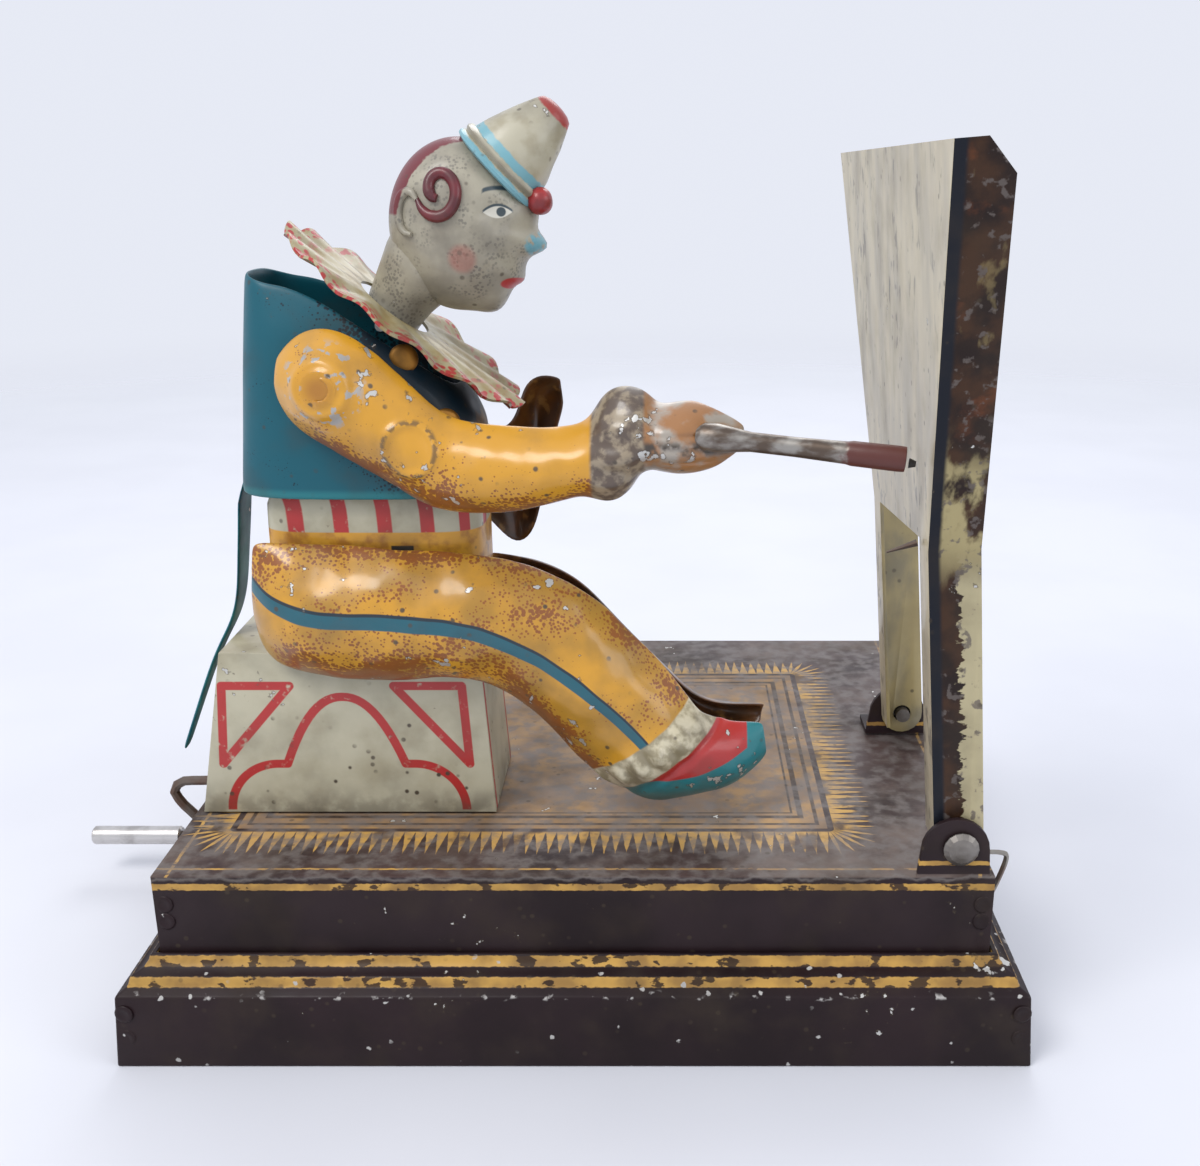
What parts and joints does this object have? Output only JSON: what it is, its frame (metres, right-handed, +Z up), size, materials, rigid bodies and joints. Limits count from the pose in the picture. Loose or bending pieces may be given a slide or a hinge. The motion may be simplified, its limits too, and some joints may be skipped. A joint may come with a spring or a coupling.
{
  "type": "wind-up drawing clown tin toy",
  "caption": "Hand-cranked tin toy: a seated clown swings, nods and lifts an arm with a pencil against a sprung tin easel on a stepped base.",
  "frame": {"origin": "centre of the flat bottom plate's underside", "axes": "+Z up, +X from the clown towards the easel, +Y away from the side that the printed leg and arm face"},
  "size_m": [0.1428, 0.1107, 0.1212],
  "materials": {
    "black_lacquer": "gloss, worn, with gold lines",
    "cream_print": "printed tin, satin",
    "yellow_print": "printed tin, gloss, worn",
    "teal_print": "printed tin, satin",
    "red_print": "printed tin, gloss",
    "brown_lacquer": "clear lacquer over bare tin",
    "plain_steel": "dull",
    "bright_steel": "bright",
    "brass": "dull",
    "graphite": "matt"
  },
  "bodies": {
    "root": {"plinth_frame": "black_lacquer", "bottom_plate": "plain_steel", "base_box": "black_lacquer", "far_ear": "black_lacquer", "near_rivet": "plain_steel", "far_rivet": "plain_steel", "easel_spring": "plain_steel", "seat_box": "cream_print", "waist": "cream_print", "near_leg": "yellow_print", "far_leg": "brown_lacquer", "shaft_bush": "brass", "bearing_bracket": "plain_steel", "cam_spindle": "plain_steel", "lever_bracket": "plain_steel", "lever_pin": "bright_steel", "tube_bush": "brass"},
    "crank": {"crank_wire": "plain_steel", "crank_grip": "bright_steel", "shaft_collar": "brass", "pinion": "brass"},
    "cams": {"crown_wheel": "brass", "swing_cam": "plain_steel", "lift_cam": "plain_steel", "cam_hub": "brass"},
    "lift_lever": {"lift_lever": "plain_steel"},
    "pushrod": {"pushrod": "bright_steel"},
    "torso": {"swing_lever": "plain_steel", "torso_tube": "brass", "torso_bridge": "plain_steel", "jacket": "teal_print", "coat_tail": "teal_print", "ruff": "cream_print", "neck_pin": "plain_steel", "far_arm": "brown_lacquer"},
    "drawing_arm": {"near_arm": "yellow_print", "shoulder_shaft": "plain_steel", "lift_finger": "plain_steel", "pencil_holder": "brown_lacquer", "pencil_lead": "graphite"},
    "head": {"head_near": "cream_print", "head_far": "cream_print", "hat": "cream_print", "pompom": "red_print"},
    "easel": {"easel_frame": "black_lacquer", "paper_prong": "plain_steel"}
  },
  "joints": [
    {"name": "crank_turn", "type": "hinge", "parent": "root", "child": "crank", "pos_m": [-0.03, 0, 0.017], "axis": [1, 0, 0], "continuous": true},
    {"name": "cam_turn", "type": "hinge", "parent": "root", "child": "cams", "pos_m": [0.016, 0, 0.01], "axis": [0, 0, 1], "continuous": true},
    {"name": "torso_swing", "type": "hinge", "parent": "root", "child": "torso", "pos_m": [-0.0265, -0.0175, 0.05], "axis": [0, 0, 1], "range_deg": [-3, 12]},
    {"name": "easel_tilt", "type": "hinge", "parent": "root", "child": "easel", "pos_m": [0.0499, -0.0218, 0.0293], "axis": [0, 1, 0], "range_deg": [-1.5, 5.5]},
    {"name": "arm_lift", "type": "hinge", "parent": "torso", "child": "drawing_arm", "pos_m": [-0.0303, -0.03, 0.0868], "axis": [0, -1, 0], "range_deg": [-7, 4]},
    {"name": "head_nod", "type": "hinge", "parent": "torso", "child": "head", "pos_m": [-0.0246, -0.0175, 0.0932], "axis": [0, -1, 0], "range_deg": [-3.7, 2.2]},
    {"name": "pushrod_slide", "type": "slide", "parent": "root", "child": "pushrod", "axis": [0, 0, 1], "range_m": [-0.0005, 0.0003]},
    {"name": "lift_lever_turn", "type": "hinge", "parent": "root", "child": "lift_lever", "pos_m": [-0.00693, -0.00944, 0.0037], "axis": [-0.3807, 0.9247, 0], "range_deg": [-1.35, 0.8]}
  ],
  "couplings": [
    {"joint": "crank_turn", "follows": "cam_turn", "ratio": -6},
    {"joint": "easel_tilt", "follows": "torso_swing", "ratio": 0.44},
    {"joint": "head_nod", "follows": "arm_lift", "ratio": 0.5},
    {"joint": "pushrod_slide", "follows": "arm_lift", "m_per_rad": 0.0038},
    {"joint": "lift_lever_turn", "follows": "arm_lift", "ratio": 0.1796}
  ]
}
